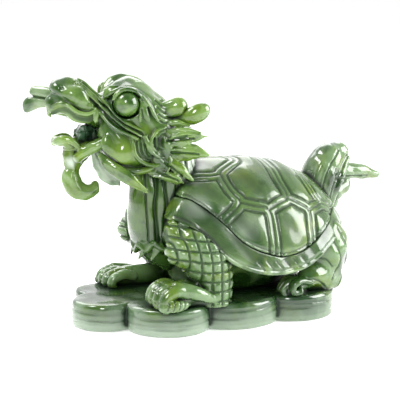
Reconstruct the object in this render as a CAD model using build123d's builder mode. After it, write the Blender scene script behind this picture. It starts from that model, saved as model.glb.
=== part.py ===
"""A carved jade dragon turtle on a lobed base, in millimetres.

The origin is the centre of the base's underside. +Z is up, the head faces -X and the
tail is at +X. The creature's left side is at -Y. The two sides mirror each other about
the plane Y = 0, except for the head, which is turned towards the creature's right.
"""

from build123d import *
import os

# Base: a slab whose outline is a ring of round lobes
BASE_HEIGHT = 12.0
BASE_GROOVES = 3
GROOVE_WIDTH = 0.9
GROOVE_DEPTH = 0.7
# centre x, centre y and radius of each lobe on one side; the ones on Y = 0 stand alone
BASE_LOBES = [
    (-46.5, 0.0, 15.5),
    (-24.0, -17.5, 19.0),
    (7.5, -12.0, 24.0),
    (38.5, -14.0, 20.5),
    (50.0, 0.0, 14.5),
]
BASE_FAR_LOBE = (-41, 19, 12.5)  # x, y, radius: one more lobe, on the right side only
BASE_MIDDLE = (46.0, 20.0)  # half length and half width of the solid middle of the slab
SEAT_DEPTH = 2.0  # how far the feet and the belly are let into the base

# Shell: a dome that rises from a skirt, both wavy along the creature's length
DOME_HALF_WIDTH = 37.0
DOME_FOOT = 30.0  # height of the level at which the dome is widest
SKIRT_CENTRE = 18.0
SKIRT_HALF_LENGTH = 52.0
SKIRT_HALF_WIDTH = 38.0
# (x, z) points of the crease between dome and skirt, and of the skirt's lower edge
CREASE = [(-60, 64), (-22, 59), (-5, 48.5), (8, 37), (24, 31), (40, 34.5), (58, 45), (90, 60)]
SKIRT_EDGE = [(-60, 62), (-26, 51), (-7, 35), (9, 26), (24, 24), (42, 28.5), (58, 38), (90, 56)]

# Head: the whole head is turned about a vertical axis through the neck
HEAD_TURN = -12.0
NECK_AXIS_X = -20.0
EYE_RADIUS = 5.7
EYE = (-37.1, -11.5, 99.4)

os.makedirs("parts", exist_ok=True)


def ellipsoid(centre, radii):
    """A solid ellipsoid: a unit sphere stretched along the three axes."""
    with BuildPart() as ball:
        Sphere(1)
        scale(by=radii)
    return ball.part.moved(Location(centre))


def upright(sections):
    """A loft through ellipses on level planes, each (z, x, y, half length, half width)."""
    with BuildPart() as body:
        for z, x, y, half_length, half_width in sections:
            with BuildSketch(Plane.XY.offset(z)):
                with Locations((x, y)):
                    Ellipse(half_length, half_width)
        loft()
    return body.part


def lengthwise(sections):
    """A loft through ellipses across the length, each (x, y, z, half width, half height)."""
    with BuildPart() as body:
        for x, y, z, half_width, half_height in sections:
            with BuildSketch(Plane.YZ.offset(x)):
                with Locations((y, z)):
                    Ellipse(half_width, half_height)
        loft()
    return body.part


def spike(root, tip, root_radius, tip_radius):
    """A straight cone with a blunt end, from root to tip."""
    direction = Vector(*tip) - Vector(*root)
    with BuildPart() as cone:
        with Locations(Plane(origin=root, z_dir=direction)):
            Cone(root_radius, tip_radius, direction.length, align=(Align.CENTER, Align.CENTER, Align.MIN))
    return cone.part


def block_below(points):
    """Everything below a wavy line of (x, z) points, as one block across the width."""
    floor = -20.0
    with BuildPart() as block:
        with BuildSketch(Plane.XZ):
            with BuildLine():
                Spline(*points)
                Polyline(points[-1], (points[-1][0], floor), (points[0][0], floor), points[0])
            make_face()
        extrude(amount=80, both=True)
    return block.part


def right_side(part):
    """The mirror image of a part of the left side."""
    return mirror(part, about=Plane.XZ)


def turned(part):
    """A part of the head, turned with the head about the neck's axis."""
    axis = Location((NECK_AXIS_X, 0, 0))
    return part.moved(axis * Location((0, 0, 0), (0, 0, HEAD_TURN)) * axis.inverse())


def clear_of_body(part):
    """A part of the head, cut back from the neck and the shell that it leans on."""
    with BuildPart() as trimmed:
        add(part)
        for neighbour in (neck, carapace, shell_skirt):
            add(neighbour.part, mode=Mode.SUBTRACT)
    return trimmed.part


def finish(part, name):
    """Label a finished piece and write it out."""
    part.label = name
    export_step(part, f"parts/{name}.step")


# ---------------------------------------------------------------- legs and tail
with BuildPart() as front_leg:
    floor = BASE_HEIGHT - SEAT_DEPTH
    add(upright([
        (floor, -10, -25.5, 10.5, 8),
        (22, -11.5, -26.5, 12, 9.5),
        (35, -15, -26.5, 15, 10),
        (47, -17.5, -23, 13, 9),
        (54, -17.5, -20, 9, 6),
    ]))
    add(lengthwise([
        (-8, -26.5, 19, 8, 6),
        (-22, -27, 19, 9.5, 9),
        (-32, -27.5, 18.5, 9.5, 8.5),
        (-38, -27.5, 17, 8, 6.5),
        (-41.5, -27.5, 15.5, 4.5, 3.5),
    ]))
    split(bisect_by=Plane.XY.offset(floor), keep=Keep.TOP)

with BuildPart() as hind_leg:
    add(ellipsoid((48, -22, 26), (15, 12, 18)))
    add(lengthwise([
        (52, -23, 17, 7, 7),
        (40, -25.5, 17, 8, 6.5),
        (29, -27, 16.5, 7.5, 6),
        (21.5, -27, 15, 4.5, 4),
    ]))
    split(bisect_by=Plane.XY.offset(floor), keep=Keep.TOP)

with BuildPart() as tail_body:
    add(upright([
        (46, 60, 0, 9, 8),
        (53, 62, 0, 9.5, 8),
        (62, 65, 0, 11, 7.5),
        (70, 66, 0, 10.5, 6),
        (75.5, 66, 0, 6, 3.5),
    ]))
    add(lengthwise([
        (66, 0, 61, 5, 6),
        (78, 0, 61, 4, 4),
        (86, 0, 60, 3, 2.5),
        (93, 0, 59.3, 1, 1),
    ]))

# ---------------------------------------------------------------- shell and trunk
with BuildPart() as dome:
    add(lengthwise([
        (-27, 0, DOME_FOOT, 24, 28),
        (-20, 0, DOME_FOOT, 31, 35),
        (-8, 0, DOME_FOOT, 35.5, 40),
        (8, 0, DOME_FOOT, DOME_HALF_WIDTH, 42),
        (24, 0, DOME_FOOT, DOME_HALF_WIDTH, 41.5),
        (42, 0, DOME_FOOT, 34, 37),
        (56, 0, DOME_FOOT, 28, 28),
        (66, 0, DOME_FOOT, 17, 15),
        (69, 0, DOME_FOOT, 8, 7),
    ]))

with BuildPart() as carapace:
    add(dome.part)
    add(block_below(CREASE), mode=Mode.SUBTRACT)

with BuildPart() as trunk:
    add(upright([
        (floor, 16, 0, 30, 15),
        (20, 17, 0, 36, 22),
        (32, SKIRT_CENTRE, 0, 43, 28),
        (45, SKIRT_CENTRE, 0, 44, 29),
        (62, SKIRT_CENTRE, 0, 40, 26),
    ]))
    add(block_below(CREASE), mode=Mode.INTERSECT)

with BuildPart() as shell_skirt:
    with BuildSketch(Plane.XY.offset(15)):
        with Locations((SKIRT_CENTRE, 0)):
            Ellipse(SKIRT_HALF_LENGTH, SKIRT_HALF_WIDTH)
    extrude(amount=50)
    add(block_below(CREASE), mode=Mode.INTERSECT)
    add(block_below(SKIRT_EDGE), mode=Mode.SUBTRACT)
    add(trunk.part, mode=Mode.SUBTRACT)

# ---------------------------------------------------------------- head, in its own straight frame
with BuildPart() as eye:
    with Locations(EYE):
        Sphere(EYE_RADIUS)

with BuildPart() as horn:
    add(lengthwise([
        (-20, -10.5, 92.5, 3.8, 3.8),
        (-10, -12.5, 94, 4.2, 4.2),
        (-3, -13.5, 95.5, 3.8, 3.8),
        (0, -14, 96, 1.8, 1.8),
    ]))

with BuildPart() as ear:
    add(lengthwise([
        (-27, -8, 98, 4, 4),
        (-18, -9, 99, 5, 5.5),
        (-11, -9, 100, 4.5, 4.5),
        (-8.5, -9, 100, 2, 2),
    ]))

with BuildPart() as mane:
    add(ellipsoid((-20, -13, 77), (6, 4.5, 12)))
    add(spike((-20, -13.5, 86.5), (-8.9, -14, 88.7), 3.2, 0.8))
    add(spike((-21, -14, 83.5), (-1.7, -16, 84.3), 4.0, 0.6))
    add(spike((-21, -14, 77.5), (-1.2, -16, 76.3), 4.0, 0.6))
    add(spike((-21, -13, 71), (-9.7, -15, 65.4), 3.6, 0.6))

with BuildPart() as brow:
    add(lengthwise([
        (-46, -10.5, 105, 2.5, 2),
        (-40, -10.5, 107.5, 3.8, 3),
        (-33, -11, 105.5, 4, 3.4),
        (-28, -11.5, 100, 3.6, 4.4),
        (-25.5, -12, 94, 2.4, 3),
    ]))

with BuildPart() as head:
    add(ellipsoid((-32, 0, 88), (18.5, 15.5, 19)))
    add(lengthwise([
        (-36, 0, 97, 12.5, 9),
        (-47, 0, 96.5, 10.5, 5.8),
        (-54, 0, 97, 9.5, 6.2),
        (-60, 0, 101.5, 9.5, 9.6),
        (-66, 0, 102, 8, 8.4),
        (-69.5, 0, 103, 4.5, 5),
    ]))
    for socketed in (eye.part, horn.part, ear.part, mane.part, brow.part):
        add(socketed, mode=Mode.SUBTRACT)
        add(right_side(socketed), mode=Mode.SUBTRACT)

# where two of the small pieces meet, the later one is cut back from the earlier ones
cut_from = [eye.part]
for organ in (brow, ear, horn, mane):
    with organ:
        for earlier in cut_from:
            add(earlier, mode=Mode.SUBTRACT)
    cut_from.append(organ.part)

with BuildPart() as lower_jaw:
    add(lengthwise([
        (-36, 0, 78, 11.5, 7),
        (-46, 0, 82, 10, 5),
        (-54, 0, 81, 9, 4.4),
        (-60, 0, 81.5, 8, 4),
        (-65, 0, 83.5, 6.5, 2.8),
        (-68.5, 0, 83.5, 4, 1.4),
    ]))
    add(head.part, mode=Mode.SUBTRACT)

with BuildPart() as tongue:
    add(lengthwise([
        (-49, 0, 85.5, 4.5, 3),
        (-56, 0, 86.3, 4.2, 2.6),
        (-62, 0, 86.5, 2.8, 1.4),
    ]))
    add(head.part, mode=Mode.SUBTRACT)
    add(lower_jaw.part, mode=Mode.SUBTRACT)

with BuildPart() as beard:
    add(upright([
        (80, -57.5, 0, 4, 6),
        (71, -58, 0, 3, 4),
        (65, -59, 0, 4.5, 5),
        (60, -57, 0, 5, 5),
        (56.5, -55.5, 0, 2.5, 2.5),
    ]))
    add(spike((-57, 0, 59.5), (-48.1, 0, 61.7), 3.2, 1.2))
    add(lower_jaw.part, mode=Mode.SUBTRACT)

with BuildPart() as jaw_fin:
    add(lengthwise([
        (-47, -10.5, 76, 2, 2.5),
        (-39, -12.5, 70.5, 2, 4.5),
        (-33, -14, 65, 1.8, 3.8),
        (-29, -15.5, 60.5, 0.7, 1.2),
    ]))
    add(head.part, mode=Mode.SUBTRACT)
    add(lower_jaw.part, mode=Mode.SUBTRACT)

# the fin on the right hangs steeper than the one on the left
with BuildPart() as right_jaw_fin:
    add(lengthwise([
        (-47, 9, 76, 2, 3),
        (-43, 10, 69.5, 1.8, 5),
        (-39.5, 10.6, 64, 1.4, 4),
        (-36.5, 11, 60, 0.6, 1.2),
    ]))
    add(head.part, mode=Mode.SUBTRACT)
    add(lower_jaw.part, mode=Mode.SUBTRACT)

with BuildPart() as whisker:
    add(spike((-63, 7, 100), (-74.5, 12, 103.5), 3.2, 1.4))
    add(spike((-70, 10, 101), (-78.4, 12, 97), 3.0, 1.4))
    add(head.part, mode=Mode.SUBTRACT)

# ---------------------------------------------------------------- neck
with BuildPart() as neck:
    add(upright([
        (24, -20, 0, 12, 10),
        (32, -21, 0, 15, 14.5),
        (45, -19, 0, 17, 16),
        (62, -18, 0, 18, 15.5),
        (76, -20, 0, 16, 12),
    ]))
    for neighbour in (trunk.part, shell_skirt.part, carapace.part, turned(head.part),
                      turned(lower_jaw.part), front_leg.part, right_side(front_leg.part)):
        add(neighbour, mode=Mode.SUBTRACT)

# ---------------------------------------------------------------- fit the limbs under the shell
with front_leg:
    for neighbour in (trunk, shell_skirt, carapace):
        add(neighbour.part, mode=Mode.SUBTRACT)

with hind_leg:
    for neighbour in (trunk, shell_skirt, carapace):
        add(neighbour.part, mode=Mode.SUBTRACT)

with BuildPart() as tail:
    add(tail_body.part)
    for neighbour in (trunk, shell_skirt, carapace):
        add(neighbour.part, mode=Mode.SUBTRACT)

# ---------------------------------------------------------------- base, with a seat for every foot
with BuildPart() as base:
    slice_height = BASE_HEIGHT / (2 * BASE_GROOVES + 1)
    with BuildSketch() as outline:
        Ellipse(*BASE_MIDDLE)
        for x, y, radius in BASE_LOBES:
            with Locations((x, y), (x, -y)):
                Circle(radius)
        with Locations(BASE_FAR_LOBE[:2]):
            Circle(BASE_FAR_LOBE[2])
    extrude(amount=BASE_HEIGHT)
    for groove in range(BASE_GROOVES):
        height = (2 * groove + 1.5) * slice_height
        with BuildSketch(Plane.XY.offset(height)):
            offset(outline.sketch, amount=5)
            offset(outline.sketch, amount=-GROOVE_DEPTH, mode=Mode.SUBTRACT)
        extrude(amount=GROOVE_WIDTH, mode=Mode.SUBTRACT)
    for foot in (front_leg, hind_leg):
        add(foot.part, mode=Mode.SUBTRACT)
        add(right_side(foot.part), mode=Mode.SUBTRACT)
    add(trunk.part, mode=Mode.SUBTRACT)

# ---------------------------------------------------------------- write every piece
CENTRE_PIECES = {
    "base": base.part,
    "trunk": trunk.part,
    "carapace": carapace.part,
    "shell_skirt": shell_skirt.part,
    "neck": neck.part,
    "tail": tail.part,
    "head": turned(head.part),
    "lower_jaw": turned(lower_jaw.part),
    "tongue": turned(tongue.part),
    "beard": turned(beard.part),
    "whisker_right": turned(whisker.part),
}
PAIRED_BODY_PIECES = {"front_leg": front_leg.part, "hind_leg": hind_leg.part}
PAIRED_HEAD_PIECES = {
    "eye": eye.part,
    "brow": brow.part,
    "horn": horn.part,
    "ear": ear.part,
}
LEANING_HEAD_PIECES = {
    "mane_left": mane.part,
    "mane_right": right_side(mane.part),
    "jaw_fin_left": jaw_fin.part,
    "jaw_fin_right": right_jaw_fin.part,
}

for name, piece in CENTRE_PIECES.items():
    finish(piece, name)
for name, piece in PAIRED_BODY_PIECES.items():
    finish(piece, f"{name}_left")
    finish(right_side(piece), f"{name}_right")
for name, piece in PAIRED_HEAD_PIECES.items():
    finish(turned(piece), f"{name}_left")
    finish(turned(right_side(piece)), f"{name}_right")
for name, piece in LEANING_HEAD_PIECES.items():
    finish(clear_of_body(turned(piece)), name)
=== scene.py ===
"""A carved jade dragon turtle: the looks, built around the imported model.

Every piece is carved as a field of signed distances on a grid, in millimetres, and then
meshed. Left is the creature's own left side, at -Y; the head faces -X.
"""

import math

import bpy
import numpy as np
import openvdb
from mathutils import Matrix, Vector


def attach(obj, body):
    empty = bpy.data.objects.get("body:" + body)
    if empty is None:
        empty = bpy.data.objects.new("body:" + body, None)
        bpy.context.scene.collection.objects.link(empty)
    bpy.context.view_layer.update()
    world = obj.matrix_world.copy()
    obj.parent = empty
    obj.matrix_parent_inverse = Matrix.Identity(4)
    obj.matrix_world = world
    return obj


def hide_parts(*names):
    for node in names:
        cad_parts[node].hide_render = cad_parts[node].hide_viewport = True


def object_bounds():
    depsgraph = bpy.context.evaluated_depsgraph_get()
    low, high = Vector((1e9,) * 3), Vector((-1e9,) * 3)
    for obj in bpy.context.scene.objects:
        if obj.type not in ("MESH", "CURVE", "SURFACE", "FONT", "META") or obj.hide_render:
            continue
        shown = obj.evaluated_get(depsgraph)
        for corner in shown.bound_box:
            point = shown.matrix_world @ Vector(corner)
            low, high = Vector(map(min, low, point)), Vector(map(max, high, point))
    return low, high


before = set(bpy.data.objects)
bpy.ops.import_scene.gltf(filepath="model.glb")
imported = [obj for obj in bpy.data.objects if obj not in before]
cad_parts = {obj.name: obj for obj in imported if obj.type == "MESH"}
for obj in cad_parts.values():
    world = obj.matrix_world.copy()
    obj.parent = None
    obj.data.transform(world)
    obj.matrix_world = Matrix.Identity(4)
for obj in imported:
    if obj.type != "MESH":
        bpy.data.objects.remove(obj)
cad_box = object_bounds()

MM = 0.001
FAR = 9.0  # the distance stored where no shape is near
UNREACHED = 1e3  # the distance from a line, where it isn't worked out
SHAPE_MARGIN = 2.0  # how far round a shape its distances are worked out
THINNEST = 0.15  # the least radius of a bar
COARSE = 1.0  # how much wider the cells of a quick mesh are
ACROSS = (0, 1, 0)  # the direction in which most flattened bars are flat
WAVES, WAVES_SEED, WAVES_SHARE = 7, 7, 0.4  # for the unevenness of a surface
BULK_MARGIN = 8  # how far the grid for the bulk reaches past the object


# ---- the carving tools
def smooth_min(a, b, blend):
    """The smaller of two fields, with a fillet about as wide as blend."""
    if blend <= 0:
        return np.minimum(a, b)
    meet = np.maximum(blend - np.abs(a - b), 0) / blend
    return np.minimum(a, b) - meet * meet * blend * 0.25


def spline(points, steps=8):
    """A smooth curve through rows of numbers, with `steps` points to each stretch."""
    rows = np.asarray(points, float)
    ends = np.vstack([2 * rows[0] - rows[1], rows, 2 * rows[-1] - rows[-2]])
    curve = []
    for a, b, c, d in zip(ends, ends[1:], ends[2:], ends[3:]):
        for t in np.arange(steps) / steps:
            curve.append(0.5 * (2 * b + (c - a) * t + (2 * a - 5 * b + 4 * c - d) * t ** 2
                                + (3 * b - a - 3 * c + d) * t ** 3))
    curve.append(rows[-1])
    return np.array(curve)


class Carving:
    """One piece of stone on a grid: negative inside, positive outside.

    A path is a row of points. A point of two numbers, x and z, lies in the middle plane.
    """

    def __init__(self, low, high, cell):
        self.cell = cell * COARSE
        self.axes = [np.arange(a, b + self.cell, self.cell, dtype=np.float32)
                     for a, b in zip(low, high)]
        self.low = np.array([axis[0] for axis in self.axes])
        self.field = np.full([len(axis) for axis in self.axes], FAR, np.float32)
        self.cuts = np.zeros(self.field.shape, np.float32)
        self.side = 1

    def sides(self):
        """Carve what a loop holds as it is written, and then its mirror image."""
        for self.side in (1, -1):
            yield self.side
        self.side = 1

    def placed(self, path):
        """A path's points in three numbers each, on the side that is being carved."""
        points = [point if len(point) == 3 else (point[0], 0, point[1]) for point in path]
        return np.array(points, float) * (1, self.side, 1)

    def window(self, low, high):
        """The slices of the grid inside a box, and the coordinates of its cells."""
        cut = []
        for axis, a, b in zip(self.axes, low, high):
            first = min(max(0, int((a - axis[0]) / self.cell)), len(axis))
            last = min(max(first, int((b - axis[0]) / self.cell) + 2), len(axis))
            cut.append(slice(first, last))
        x, y, z = (axis[part] for axis, part in zip(self.axes, cut))
        return tuple(cut), x[:, None, None], y[None, :, None], z[None, None, :]

    def everywhere(self):
        """The coordinates of all the cells."""
        return self.window(self.low, [axis[-1] for axis in self.axes])[1:]

    def merge(self, cut, near, blend, away):
        """Add a shape whose distances are known in one window, or take it away."""
        sign = -1 if away else 1
        self.field[cut] = sign * smooth_min(sign * self.field[cut], near, blend)

    def blob(self, centre, radii, blend=1.0, turn=None, away=False):
        """Add an ellipsoid, or take it away. turn is a rotation in degrees about x, y and z."""
        centre = (centre[0], self.side * centre[1], centre[2])
        radii = np.broadcast_to(radii, 3).astype(float)
        margin = SHAPE_MARGIN + blend
        reach = (radii if turn is None else np.full(3, radii.max())) + margin
        cut, x, y, z = self.window(np.subtract(centre, reach), np.add(centre, reach))
        x, y, z = x - centre[0], y - centre[1], z - centre[2]
        if turn is not None:
            angles = [math.radians(a) for a in turn]
            m = np.array((Matrix.Rotation(angles[2], 3, "Z") @ Matrix.Rotation(angles[1], 3, "Y")
                          @ Matrix.Rotation(angles[0], 3, "X")).transposed())
            x, y, z = (row[0] * x + row[1] * y + row[2] * z for row in m)
        a, b, c = radii
        far = np.sqrt((x / a) ** 2 + (y / b) ** 2 + (z / c) ** 2)
        slope = np.sqrt((x / a ** 2) ** 2 + (y / b ** 2) ** 2 + (z / c ** 2) ** 2)
        near = far * (far - 1) / np.maximum(slope, 1e-6)
        self.merge(cut, near.astype(np.float32), blend, away)

    def near_path(self, points, radii, reach, flat=None, skip=None):
        """How far each cell is from a bar along a path, less the bar's radius there.

        flat is (unit direction, share): the bar is only share as thick along that direction.
        skip is (axis, low, high): distance along that axis doesn't count between the two.
        """
        def window_around(points, radius):
            margin = radius + reach
            low, high = points.min(0) - margin, points.max(0) + margin
            if skip is not None:
                low[skip[0]], high[skip[0]] = skip[1:]
            return self.window(low, high)

        radii = np.broadcast_to(radii, len(points))
        if skip is not None:
            points[:, skip[0]] = 0.0
        cut = window_around(points, radii.max())[0]
        near = np.full([part.stop - part.start for part in cut], UNREACHED, np.float32)
        starts = [part.start for part in cut]
        for a, b, ra, rb in zip(points, points[1:], radii, radii[1:]):
            part, x, y, z = window_around(np.array([a, b]), max(ra, rb))
            if any(p.stop <= p.start for p in part):
                continue
            offset = [x - a[0], y - a[1], z - a[2]]
            if skip is not None:
                offset[skip[0]] = offset[skip[0]] * 0
            run = b - a
            length = max(float(run @ run), 1e-9)
            t = np.clip(sum(o * r for o, r in zip(offset, run)) / length, 0, 1)
            offset = [o - t * r for o, r in zip(offset, run)]
            squared = sum(o * o for o in offset)
            if flat is not None:
                across = sum(o * n for o, n in zip(offset, flat[0]))
                squared = squared + (1 / flat[1] ** 2 - 1) * across ** 2
            here = np.sqrt(squared) - (ra + (rb - ra) * t)
            inner = tuple(slice(p.start - s, p.stop - s) for p, s in zip(part, starts))
            near[inner] = np.minimum(near[inner], here)
        return cut, near

    def bar(self, points, radii, blend=1.0, flat=None, steps=6, away=False):
        """Add a round or flattened bar along a smooth path, or take it away.

        radii has one number, one for each point, or the first, the middle ones' and the last.
        flat is the share of its thickness that a bar keeps across, or (direction, share).
        """
        count = len(points)
        if np.size(radii) == 3 and count > 3:
            radii = [radii[0]] + [radii[1]] * (count - 2) + [radii[2]]
        rows = spline(np.column_stack([self.placed(points), np.broadcast_to(radii, count)]), steps)
        if flat is not None:
            way, share = flat if isinstance(flat, tuple) else (ACROSS, flat)
            flat = (np.asarray(way, float) / np.linalg.norm(way), share)
        cut, near = self.near_path(rows[:, :3], np.maximum(rows[:, 3], THINNEST), SHAPE_MARGIN + blend, flat)
        self.merge(cut, near, blend, away)

    def etch(self, paths, width, depth, steps=6, skip=None, echo=(), reach=0.0):
        """Incise lines as wide and deep as said. A negative depth raises them.

        echo lists distances from the lines at which they are repeated on both sides.
        The distances handed back are true out to `reach`.
        """
        widest = width + max(echo, default=0.0) + self.cell
        if skip is not None and skip[0] == 1:
            skip = (1, *sorted((self.side * skip[1], self.side * skip[2])))
        total = np.full(self.field.shape, UNREACHED, np.float32)
        for path in paths:
            path = spline(self.placed(path), steps)
            cut, near = self.near_path(path, 0.0, max(reach, widest), skip=skip)
            total[cut] = np.minimum(total[cut], near)
        cells = total < widest
        away = total[cells]
        sink = sum(np.clip(1 - ((away - line) / width) ** 2, 0, 1) ** 2 for line in (0.0, *echo))
        self.field[cells] += depth * np.minimum(sink, 1.0)
        # where the lines lie, which the material paints darker as painted shade in them
        self.cuts[cells] = np.maximum(self.cuts[cells], np.minimum(sink, 1.0))
        return total

    def even_out(self):
        """Make the field's slope about one near the surface, so that depths come out true."""
        slope = np.sqrt(sum(g * g for g in np.gradient(self.field, self.cell)))
        self.field /= np.clip(slope, 0.3, 4.0)

    def waver(self, height, length=7.0):
        """Make the surface slightly uneven, as hand work leaves it."""
        x, y, z = self.everywhere()
        rng = np.random.default_rng(WAVES_SEED)
        wave = 0.0
        for _ in range(WAVES):
            way = rng.normal(size=3)
            way *= 2 * math.pi / (length * rng.uniform(0.7, 1.6) * np.linalg.norm(way))
            phase = rng.uniform(0, 2 * math.pi)
            along_x, along_y, along_z = (np.exp(1j * w * a) for w, a in zip(way, (x, y, z)))
            wave = wave + (along_x * np.exp(1j * phase) * along_y * along_z).real
        self.field += (height * WAVES_SHARE * wave).astype(np.float32)

    def keep(self, limit, blend=0.0):
        """Keep only what lies where `limit`, a field over the whole grid, is negative."""
        self.field = -smooth_min(-self.field, -limit, blend)

    def mesh(self, name, mirrored=False, turned=False):
        """The piece's surface, as a Blender object in the frame."""
        grid = openvdb.FloatGrid(FAR)
        grid.copyFromArray(self.field)
        points, quads = grid.convertToQuads()
        points = points * self.cell + self.low
        cuts = read_grid(self.cuts, self.low, self.cell, *points.T)
        if mirrored:
            points[:, 1] *= -1
            quads = quads[:, ::-1]
        if turned:
            points = turn_points(points)
        data = bpy.data.meshes.new(name)
        data.vertices.add(len(points))
        data.vertices.foreach_set("co", (points * MM).astype(np.float32).ravel())
        data.loops.add(quads.size)
        data.loops.foreach_set("vertex_index", quads[:, ::-1].astype(np.int32).ravel())
        data.polygons.add(len(quads))
        data.polygons.foreach_set("loop_start", np.arange(0, quads.size, 4, dtype=np.int32))
        data.polygons.foreach_set("use_smooth", np.ones(len(quads), bool))
        data.update(calc_edges=True)
        paint(data, "cut", cuts)
        piece = bpy.data.objects.new(name, data)
        bpy.context.scene.collection.objects.link(piece)
        BULK.add(self, mirrored, turned)
        return piece


def paint(data, called, values):
    """Give each vertex of a mesh a number for the material to use."""
    layer = data.attributes.new(called, "FLOAT", "POINT")
    layer.data.foreach_set("value", values.astype(np.float32))


def read_grid(values, low, cell, x, y, z):
    """Values between the cells of a grid, from the eight cells around each point."""
    result = 0.0
    spots = [np.clip((p - a) / cell, 0, n - 1.001) for p, a, n in zip((x, y, z), low, values.shape)]
    base = [s.astype(int) for s in spots]
    part = [s - b for s, b in zip(spots, base)]
    for dx in (0, 1):
        for dy in (0, 1):
            for dz in (0, 1):
                weight = ((part[0] if dx else 1 - part[0]) * (part[1] if dy else 1 - part[1])
                          * (part[2] if dz else 1 - part[2]))
                result = result + weight * values[base[0] + dx, base[1] + dy, base[2] + dz]
    return result


# ---- how the head stands
NECK_AXIS_X = -20.0
HEAD_TURN = math.radians(-12)


def turn_points(points):
    """Points of the straight head, turned about the neck's upright axis."""
    x, y, z = points[:, 0] - NECK_AXIS_X, points[:, 1], points[:, 2]
    c, s = math.cos(HEAD_TURN), math.sin(HEAD_TURN)
    return np.column_stack([c * x - s * y + NECK_AXIS_X, s * x + c * y, z])


class Bulk:
    """How much stone is near each place, on one coarse grid around the whole object."""

    def __init__(self, cell=1.0):
        self.cell = cell
        low, high = (np.array(c) / MM for c in cad_box)
        self.low = low - BULK_MARGIN
        self.shape = tuple(((high + BULK_MARGIN - self.low) / cell).astype(int) + 1)
        self.stone = np.zeros(self.shape)

    def add(self, carving, mirrored, turned):
        points = np.argwhere(carving.field < 0) * carving.cell + carving.low
        if mirrored:
            points[:, 1] *= -1
        if turned:
            points = turn_points(points)
        index = ((points - self.low) / self.cell + 0.5).astype(int)
        flat = np.ravel_multi_index(np.clip(index, 0, np.array(self.shape) - 1).T, self.shape)
        share = (carving.cell / self.cell) ** 3
        self.stone += np.bincount(flat, minlength=self.stone.size).reshape(self.shape) * share

    def around(self, radius):
        """The share of stone within about `radius` of each place."""
        filled = np.minimum(self.stone, 1.0)
        spectrum = np.fft.rfftn(filled)
        waves = [np.fft.fftfreq(n, self.cell) for n in self.shape[:2]]
        waves.append(np.fft.rfftfreq(self.shape[2], self.cell))
        squared = (waves[0][:, None, None] ** 2 + waves[1][None, :, None] ** 2
                   + waves[2][None, None, :] ** 2)
        spectrum *= np.exp(-2 * (math.pi * radius) ** 2 * squared)
        return np.fft.irfftn(spectrum, s=self.shape)


BULK = Bulk()


# ---- base
BASE_TOP = 12.0
BASE_LOBES = [(-46.5, 0, 15.5), (-24, -17.5, 19), (7.5, -12, 24), (38.5, -14, 20.5), (50, 0, 14.5)]
BASE_FAR_LOBE = (-41, 19, 12.5)


def carve_base():
    stone = Carving((-64, -38, -1.5), (66, 38, 13.5), 0.5)
    x, y, z = stone.everywhere()
    outline = np.maximum(np.abs(x) - 38, np.abs(y) - 14)
    lobes = BASE_LOBES + [(cx, -cy, radius) for cx, cy, radius in BASE_LOBES] + [BASE_FAR_LOBE]
    for cx, cy, radius in lobes:
        outline = smooth_min(outline, np.hypot(x - cx, y - cy) - radius, 0.3)
    wobble = 0.5 * np.sin(x * 0.11 + 1) * np.cos(y * 0.13)
    ridges = 0.0
    for height, depth, phase in ((2.9, 0.32, 0), (5.6, 0.4, 1.7), (8.2, 0.42, 3.1)):
        drift = 0.7 * np.sin(x * 0.05 + y * 0.07 + phase)
        fade = 0.65 + 0.35 * np.sin(x * 0.16 + 2 * phase)
        ridges = ridges + depth * fade * np.exp(-((z - height - wobble - drift) / 0.42) ** 2)
    sides = outline + 0.5 + ridges - 0.35 * np.cos((z - 6) / 6 * 1.3)
    top = z - BASE_TOP - 0.12 * np.sin(x * 0.35) * np.sin(y * 0.3)
    slab = -smooth_min(-sides, -top, 2.2)
    stone.field = slab.astype(np.float32)
    stone.waver(0.08, 10)
    stone.keep(0.1 - z, 1.2)
    return stone


# ---- shell
DOME_FOOT = 30.0
DOME = spline([(-30.5, 6, 8), (-27, 23, 28), (-20, 31, 35), (-8, 35.5, 40), (8, 37, 42), (24, 37, 41.5),
               (42, 34, 37), (56, 27.5, 28), (65, 18, 16.5), (69.5, 6, 6)], 6)
CREASE = spline([(-60, 63), (-22, 59), (-13, 56), (-4.6, 48.3), (5.5, 38.3), (19, 32.3), (27, 31.8),
                 (38, 34.8), (50, 42.5), (60, 48), (90, 52)])
SKIRT_EDGE = spline([(-60, 52), (-26, 49.4), (-13.4, 42.4), (-6.3, 34.2), (0.6, 29), (10.2, 25.2),
    (19, 23.6), (28, 23.8), (38, 26.2), (48, 32), (60, 38), (90, 46)])
FRONT_X, FRONT_Z, FRONT_LEAN = -25.0, 50.0, 0.65  # a point of the shell's front end, and its lean


def along(curve, x, column=1):
    """A smooth curve's value at each x."""
    return np.interp(x, curve[:, 0], curve[:, column])


def behind_front(x, z):
    """A field that is negative behind the shell's leaning front end."""
    return FRONT_X + FRONT_LEAN * (z - FRONT_Z) - x


def dome_field(x, y, z, grow=0):
    """How far each cell is outside the dome, once that has grown by `grow`."""
    half, high = np.maximum(along(DOME, x) + grow, 1), np.maximum(along(DOME, x, 2) + grow, 1)
    up = np.maximum(z - DOME_FOOT, 0)
    far = np.sqrt((y / half) ** 2 + (up / high) ** 2)
    slope = np.sqrt((y / half ** 2) ** 2 + (up / high ** 2) ** 2)
    return far * (far - 1) / np.maximum(slope, 1e-3)


def on_dome(x, lean):
    """The point of the dome at x, `lean` degrees down from the ridge."""
    angle = math.radians(lean)
    return (x, along(DOME, x) * math.sin(angle), DOME_FOOT + along(DOME, x, 2) * math.cos(angle))


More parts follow.
